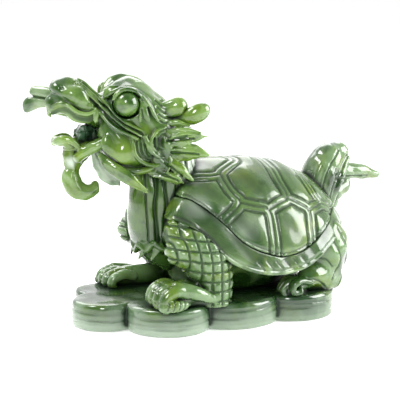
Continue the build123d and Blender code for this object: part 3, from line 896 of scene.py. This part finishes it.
def carve_tongue():
    stone = Carving((-61, -8, 79), (-42, 8, 92.5), 0.35)
    x, y, z = stone.everywhere()
    stone.field[:] = np.maximum(np.maximum(np.abs(x + 50) - 7.6, np.abs(y) - 6.4), np.abs(z - 85.6) - 3.4)
    for cut in (0.25 * (z - 86) - (x + 57), 0.5 * (x + 56) - (y + 4), 0.5 * (x + 56) + (y - 4)):
        stone.keep(cut + 0 * stone.field, 0.3)
    stone.even_out()
    stone.field -= 0.2
    stone.waver(0.5, 4.5)
    stone.etch([[(-54.6, 81), (-53.6, 85), (-54.6, 90)], [(-58, 86.2), (-54, 86.8), (-50, 86.2)],
        [(-50.6, 81), (-50, 90)]], 0.45, 0.3, skip=(1, -8, 8))
    return stone


def carve_beard():
    stone = Carving((-68, -9, 53), (-44, 9, 84), 0.35)
    stone.bar([(-57.2, 80), (-58.8, 76.4), (-59.4, 73.4), (-59, 70), (-60, 66), (-58.8, 61.8),
        (-54.6, 59.4), (-50.8, 60.2), (-49.4, 62.4)], [4.4, 5, 4.2, 3.1, 4.3, 4.3, 3.8, 3.2, 1.9], 0.6)
    stone.bar([(-52.6, 80.6), (-54, 76), (-57, 71.6)], [2.6, 2.4, 1.4], 0.6, flat=0.9)
    stone.even_out()
    stone.waver(0.25, 5)
    # flat cuts on the chin and down the front of the beard leave sharp edges between them
    for _ in stone.sides():
        stone.blob((-67.4, 9.4, 75.6), (6, 6.6, 7), 0.2, away=True)
        stone.blob((-53.6, 8.4, 75), (4, 5.2, 5), 0.2, away=True)
        stone.blob((-67.4, 8.2, 64), (5.4, 6, 8), 0.2, away=True)
        stone.blob((-54.6, 8, 65.6), (3.6, 5.6, 5), 0.2, away=True)
    for _ in stone.sides():
        stone.bar([(-59.2, -4.6, 79.4), (-60.2, -4.6, 74.6), (-59.2, -3.2, 70.2), (-60.4, -4.2, 66),
            (-58.6, -4, 61.4), (-53.6, -3.4, 59.6)], [0.3, 0.6, 0.3], 0.6)
    return stone


def carve_whisker():
    stone = Carving((-84, 1, 90), (-61, 19, 110), 0.35)
    stone.bar([(-65, 5, 101.4), (-69, 8.5, 102.4), (-73.6, 11.6, 103)], [2.4, 3.2, 2.8], 0.8,
        flat=((0.3, 1, 0), 0.6))
    stone.bar([(-67.6, 7, 98), (-72.6, 11, 98.8), (-76, 12.6, 97.6), (-77.4, 13, 95.4)], [1.6, 3, 3.2, 1.8],
        0.4, flat=((0.3, 1, 0), 0.6))
    stone.even_out()
    stone.etch([[(-67, 99.9), (-71, 100.6), (-76, 101.2)]], 0.9, 1.2, skip=(1, 1, 19))
    return stone


# ---- jade
def connect(tree, made, inputs):
    """Set a node's inputs to values, or link them to the outputs of other nodes."""
    for name, value in inputs.items():
        if isinstance(value, bpy.types.NodeSocket):
            tree.links.new(value, made.inputs[name])
        else:
            made.inputs[name].default_value = value
    return made


def shader_node(tree, kind, inputs, **settings):
    """A new shader node with its settings and inputs."""
    made = tree.nodes.new("ShaderNode" + kind)
    for setting, value in settings.items():
        setattr(made, setting, value)
    return connect(tree, made, inputs)


def linear(red, green, blue):
    """A colour given as it looks on a screen, 0 to 255, for a shader socket."""
    return tuple((c / 255) ** 2.2 for c in (red, green, blue)) + (1.0,)


# yellow-green stone, partly painted highlight
FRESH_AND_HIGHLIGHT_COLOUR = linear(122, 152, 50)
# painted reflection on the shell, and paler stone at the chin
PALE_AND_REFLECTION_COLOUR = linear(176, 190, 172)
WORN_ROUGHNESS = 0.5  # where the polish is thin
COAT = 0.75


def jade(name, deep, middle, pale, roughness, foot_pale=None):
    """Polished jade: painted shade darkens its hollows, cut lines and shaded spots, and painted reflections
    and highlights lighten a few spots; paler where the stone is thin, with cloudy patches.
    """
    deep, middle, pale = linear(*deep), linear(*middle), linear(*pale)
    material = bpy.data.materials.new(name)
    material.use_nodes = True
    tree = material.node_tree
    place = tree.nodes.new("ShaderNodeTexCoord").outputs["Object"]

    def noise(scale, detail, rough, distortion):
        inputs = {"Vector": place, "Scale": scale, "Detail": detail, "Roughness": rough,
                  "Distortion": distortion}
        return shader_node(tree, "TexNoise", inputs).outputs["Fac"]

    def between(source, low, high):
        """0 up to where the source is low, and 1 from where it is high."""
        limits = {"Value": source, "From Min": low, "From Max": high}
        return shader_node(tree, "MapRange", limits, interpolation_type="SMOOTHSTEP").outputs["Result"]

    def painted(called, low, high):
        layer = shader_node(tree, "Attribute", {}, attribute_name=called)
        return between(layer.outputs["Fac"], low, high)

    def mixed(share, a, b):
        return shader_node(tree, "Mix", {"Factor": share, "A": a, "B": b}, data_type="RGBA").outputs["Result"]

    def tinted(*factors):
        """The middle colour with its red, green and blue multiplied."""
        return tuple(c * k for c, k in zip(middle, (*factors, 1)))

    clouds, veins, patches = noise(38, 4, 0.55, 0.6), noise(120, 6, 0.65, 1.6), noise(52, 3, 0.5, 1)
    colour = mixed(painted("bulk", 0.18, 0.62), pale, middle)
    colour = mixed(between(patches, 0.5, 0.66), colour, tinted(2, 1.5, 0.75))
    colour = mixed(between(clouds, 0.49, 0.66), colour, tinted(0.42, 0.58, 0.5))
    colour = mixed(between(veins, 0.52, 0.8), colour, tuple((a + b) / 2 for a, b in zip(middle, deep)))
    if foot_pale is not None:
        # the foot is paler, most of all under the head
        spot = shader_node(tree, "SeparateXYZ", {"Vector": place}).outputs
        ends = {"Value": spot["X"], "From Min": -0.03, "From Max": 0.05, "To Min": 1, "To Max": 0.4}
        ahead = shader_node(tree, "MapRange", ends).outputs["Result"]
        low = between(spot["Z"], 0.011, 0.001)
        share = shader_node(tree, "Math", {0: low, 1: ahead}, operation="MULTIPLY").outputs["Value"]
        colour = mixed(share, colour, linear(*foot_pale))
    # yellow-green stone at a few spots, partly painted highlight
    colour = mixed(painted("fresh", 0, 2), colour, FRESH_AND_HIGHLIGHT_COLOUR)
    # painted reflections on the shell, and paler stone at the chin
    colour = mixed(painted("light", 0, 1), colour, PALE_AND_REFLECTION_COLOUR)
    # painted shade where much stone lies around, and at the shade spots
    colour = mixed(painted("shade", 0.44, 0.74), colour, tinted(0.22, 0.34, 0.22))
    # painted shade in hollows: where much stone lies close around, the colour goes towards deep
    hollow, cut = painted("hollow", 0.48, 0.68), painted("cut", 0.15, 0.9)
    # painted shade: the hollows go towards deep, and the cut lines are darker still
    colour = mixed(cut, mixed(hollow, colour, deep), tinted(0.34, 0.46, 0.26))

    # the polish wears thin in the cuts and hollows
    worn = shader_node(tree, "Math", {0: cut, 1: hollow}, operation="MAXIMUM").outputs["Value"]

    def wearing(fresh, thin):
        ends = {"Value": worn, "To Min": fresh, "To Max": thin}
        return shader_node(tree, "MapRange", ends).outputs["Result"]

    grain = shader_node(tree, "Bump", {"Strength": 0.05, "Distance": 0.0004, "Height": veins})
    connect(tree, tree.nodes["Principled BSDF"], {
        "Base Color": colour, "Roughness": wearing(roughness, WORN_ROUGHNESS),
        "Coat Weight": wearing(COAT, 0), "Coat Roughness": 0.04, "IOR": 1.52,
        "Subsurface Weight": 0.12, "Subsurface Radius": (0.5, 1, 0.4), "Subsurface Scale": 0.0025,
        "Normal": grain.outputs["Normal"]})
    return material


BODY_JADE = jade("jade_body", (14, 34, 10), (64, 95, 44), (108, 136, 90), 0.2)
# the neck's jade is a darker copy of the body's: painted shade under the head
SHADED_NECK_JADE = jade("jade_neck", (12, 30, 8), (50, 82, 30), (76, 108, 50), 0.2)
TAIL_JADE = jade("jade_tail", (14, 34, 12), (68, 96, 52), (110, 134, 96), 0.18)
SHELL_JADE = jade("jade_shell", (14, 34, 10), (70, 100, 50), (120, 144, 102), 0.18)
HEAD_JADE = jade("jade_head", (14, 34, 10), (64, 97, 34), (110, 140, 72), 0.18)
WHISKER_JADE = jade("jade_whisker", (30, 50, 24), (80, 108, 58), (128, 150, 112), 0.2)
PALE_JADE = jade("jade_pale", (50, 74, 48), (124, 148, 114), (170, 188, 162), 0.18)
DARK_JADE = jade("jade_mouth", (16, 36, 22), (52, 82, 58), (88, 116, 92), 0.14)
BASE_JADE = jade("jade_base", (22, 42, 22), (54, 84, 48), (116, 138, 108), 0.15, foot_pale=(144, 162, 140))


# ---- carve every piece
# whether the piece turns with the head, its material and its slot
BODY, NECK, TAIL = ((False, material, "body_stone") for material in (BODY_JADE, SHADED_NECK_JADE, TAIL_JADE))
SHELL = (False, SHELL_JADE, "shell_stone")
HEAD = (True, HEAD_JADE, "head_stone")
CENTRE = {
    "base": (carve_base, False, BASE_JADE, "base_stone"),
    "trunk": (carve_trunk, *BODY),
    "carapace": (carve_carapace, *SHELL),
    "shell_skirt": (carve_skirt, *SHELL),
    "neck": (carve_neck, *NECK),
    "tail": (carve_tail, *TAIL),
    "head": (carve_head, *HEAD),
    "lower_jaw": (carve_lower_jaw, *HEAD),
    "tongue": (carve_tongue, True, DARK_JADE, "mouth_stone"),
    "beard": (carve_beard, *HEAD),
    "whisker_right": (carve_whisker, True, WHISKER_JADE, "head_stone"),
    "jaw_fin_left": (carve_jaw_fin, *HEAD),
    "jaw_fin_right": (carve_far_fin, True, PALE_JADE, "pale_stone"),
    "ear_left": (carve_ear, *HEAD),
    "ear_right": (carve_far_ear, *HEAD),
    "horn_left": (carve_horn, *HEAD),
    "horn_right": (carve_far_horn, *HEAD),
}
PAIRS = {
    "front_leg": (carve_front_leg, *BODY),
    "hind_leg": (carve_hind_leg, *BODY),
    "eye": (carve_eye, *HEAD),
    "brow": (carve_brow, *HEAD),
    "mane": (carve_mane, *HEAD),
}
FAR_TWINS = {"front_leg": carve_far_front_leg}  # right pieces that aren't the left one's mirror image


def show(stone, node, mirrored, turned, material, slot):
    """Mesh a piece of stone as the visible piece that stands for a CAD node."""
    piece = stone.mesh(f"jade_{node}", mirrored, turned)
    piece.data.materials.append(material)
    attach(piece, "root")
    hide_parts(node)
    return piece


pieces = []
for node, (carve, *dress) in CENTRE.items():
    pieces.append(show(carve(), node, False, *dress))
for node, (carve, *dress) in PAIRS.items():
    stone = carve()
    pieces.append(show(stone, f"{node}_left", False, *dress))
    if node in FAR_TWINS:
        stone = FAR_TWINS[node]()
    pieces.append(show(stone, f"{node}_right", True, *dress))

# places where other colours are painted, each list on its own: painted reflection, yellow-green with painted
# highlight, and painted shade; x, y, z and how far it reaches, in mm
# painted reflections on the shell, and paler stone at the chin
PALE_AND_REFLECTION_SPOTS = [(-61.5, 3, 73, 4.6), (6, -45, 51, 16), (-16, -31, 59, 11), (-10, -8, 72, 10)]
# yellow-green stone, partly painted highlight
FRESH_AND_HIGHLIGHT_SPOTS = [(-42, -10, 78, 12), (-63, 4, 84, 5), (-58, 0, 77, 3.4), (-36, -15, 66, 7),
               (-16, -22, 67, 6), (-66, 4, 98, 4), (-20, -14, 96, 4), (8, -40, 56, 14)]
# painted shade under the body, at the throat and neck, by the hind leg and at the tail's root
SHADE_SPOTS = [(-20, 8, 22, 12), (-4, -10, 20, 11), (12, -16, 17, 15), (34, -14, 16, 13),
              (-16, 24, 18, 9), (-24, -9, 69, 13), (-12, -14, 61, 10), (-14, -15, 43, 9),
              (62, -26, 24, 16), (66, -9, 58, 13)]
SPOT_DARKNESS = 0.74  # as much shade as among a lot of stone
SPOT_RISE = 1.4  # above 1, so that a spot is at full strength some way out from its middle


def spot_strength(places, spots):
    """How far into the nearest of the spots each place lies, 0 to 1."""
    strength = np.zeros(len(places))
    for x, y, z, reach in spots:
        away = np.linalg.norm(places - (x, y, z), axis=1)
        strength = np.maximum(strength, SPOT_RISE - SPOT_RISE * away / reach)
    return np.clip(strength, 0, 1)


# how much stone there is within a few distances of each place: hollow and shade become painted shade, and
# bulk makes thin stone paler
AROUND = {called: BULK.around(radius) for called, radius in (("hollow", 1.6), ("bulk", 3.6), ("shade", 6.5))}
for piece in pieces:
    data = piece.data
    places = np.empty(len(data.vertices) * 3, np.float32)
    data.vertices.foreach_get("co", places)
    places = places.reshape(-1, 3) / MM
    layers = {called: read_grid(around, BULK.low, BULK.cell, *places.T) for called, around in AROUND.items()}
    # painted shade: the shade spots darken the stone as if in shadow
    layers["shade"] = np.maximum(layers["shade"], SPOT_DARKNESS * spot_strength(places, SHADE_SPOTS))
    layers["light"] = spot_strength(places, PALE_AND_REFLECTION_SPOTS)
    layers["fresh"] = spot_strength(places, FRESH_AND_HIGHLIGHT_SPOTS)
    for called, values in layers.items():
        paint(data, called, values)

# ---- floor, light and camera
WHITE = (1, 1, 1, 1)
FLOOR_REACH = 3.0
floor_data = bpy.data.meshes.new("floor")
corners = [(x * FLOOR_REACH, y * FLOOR_REACH, 0) for x, y in ((-1, -1), (1, -1), (1, 1), (-1, 1))]
floor_data.from_pydata(corners, [], [(0, 1, 2, 3)])
floor = bpy.data.objects.new("floor", floor_data)
bpy.context.scene.collection.objects.link(floor)
floor_material = bpy.data.materials.new("white_floor")
floor_material.use_nodes = True
connect(floor_material.node_tree, floor_material.node_tree.nodes["Principled BSDF"], {
    "Base Color": (0.93, 0.93, 0.93, 1), "Roughness": 0.8, "Specular IOR Level": 0.1,
    "Emission Color": WHITE, "Emission Strength": 0.35})
floor_data.materials.append(floor_material)

# each softbox: where it stands, its width and height, and its power in watts
SOFTBOXES = {
    "right": ((0.52, -0.31, 0.30), (0.42, 0.46), 5.6),
    "left": ((-0.40, 0.08, 0.62), (0.26, 0.26), 3.0),
    "back": ((0.08, 0.58, 0.58), (0.75, 0.45), 3.2),
    "front": ((-0.40, -0.66, 0.46), (0.16, 0.30), 2.8),
}
LIT_MIDDLE = Vector((0, 0, 0.05))
for name, (position, size, watts) in SOFTBOXES.items():
    light = bpy.data.lights.new(f"softbox_{name}", "AREA")
    light.shape = "RECTANGLE"
    light.size, light.size_y = size
    light.energy = watts
    lamp = bpy.data.objects.new(f"softbox_{name}", light)
    lamp.location = position
    lamp.rotation_euler = (LIT_MIDDLE - Vector(position)).to_track_quat("-Z", "Y").to_euler()
    bpy.context.scene.collection.objects.link(lamp)

# a white tent, brighter behind the object, with a plain white backdrop
world = bpy.data.worlds.new("white_tent")
world.use_nodes = True
tree = world.node_tree
sky = shader_node(tree, "TexCoord", {})
direction = shader_node(tree, "SeparateXYZ", {"Vector": sky.outputs["Generated"]})
ends = {"Value": direction.outputs["Y"], "From Min": -0.5, "From Max": 0.7, "To Min": 0.26, "To Max": 1.2}
fade = shader_node(tree, "MapRange", ends, interpolation_type="SMOOTHSTEP")
tent = connect(tree, tree.nodes["Background"], {"Strength": fade.outputs["Result"], "Color": WHITE})
backdrop = shader_node(tree, "Background", {"Color": WHITE})
seen = shader_node(tree, "LightPath", {})
choose = shader_node(tree, "MixShader", {
    "Fac": seen.outputs["Is Camera Ray"], 1: tent.outputs["Background"], 2: backdrop.outputs["Background"]})
connect(tree, tree.nodes["World Output"], {"Surface": choose.outputs["Shader"]})
bpy.context.scene.world = world
bpy.context.scene.view_settings.view_transform = "Standard"

VIEW_TURN, VIEW_RISE = math.radians(-25), math.radians(10)
VIEW_DISTANCE, VIEW_WIDTH = 0.7, 0.184
SENSOR_WIDTH = 36
aim = Vector((0.00358, 0.0083, 0.05124))
back = Vector((math.sin(VIEW_TURN) * math.cos(VIEW_RISE), -math.cos(VIEW_TURN) * math.cos(VIEW_RISE),
               math.sin(VIEW_RISE)))
camera_data = bpy.data.cameras.new("camera")
camera_data.sensor_width = SENSOR_WIDTH
camera_data.lens = SENSOR_WIDTH * VIEW_DISTANCE / VIEW_WIDTH
camera = bpy.data.objects.new("camera", camera_data)
camera.location = aim + back * VIEW_DISTANCE
camera.rotation_euler = back.to_track_quat("Z", "Y").to_euler()
bpy.context.scene.collection.objects.link(camera)
bpy.context.scene.camera = camera
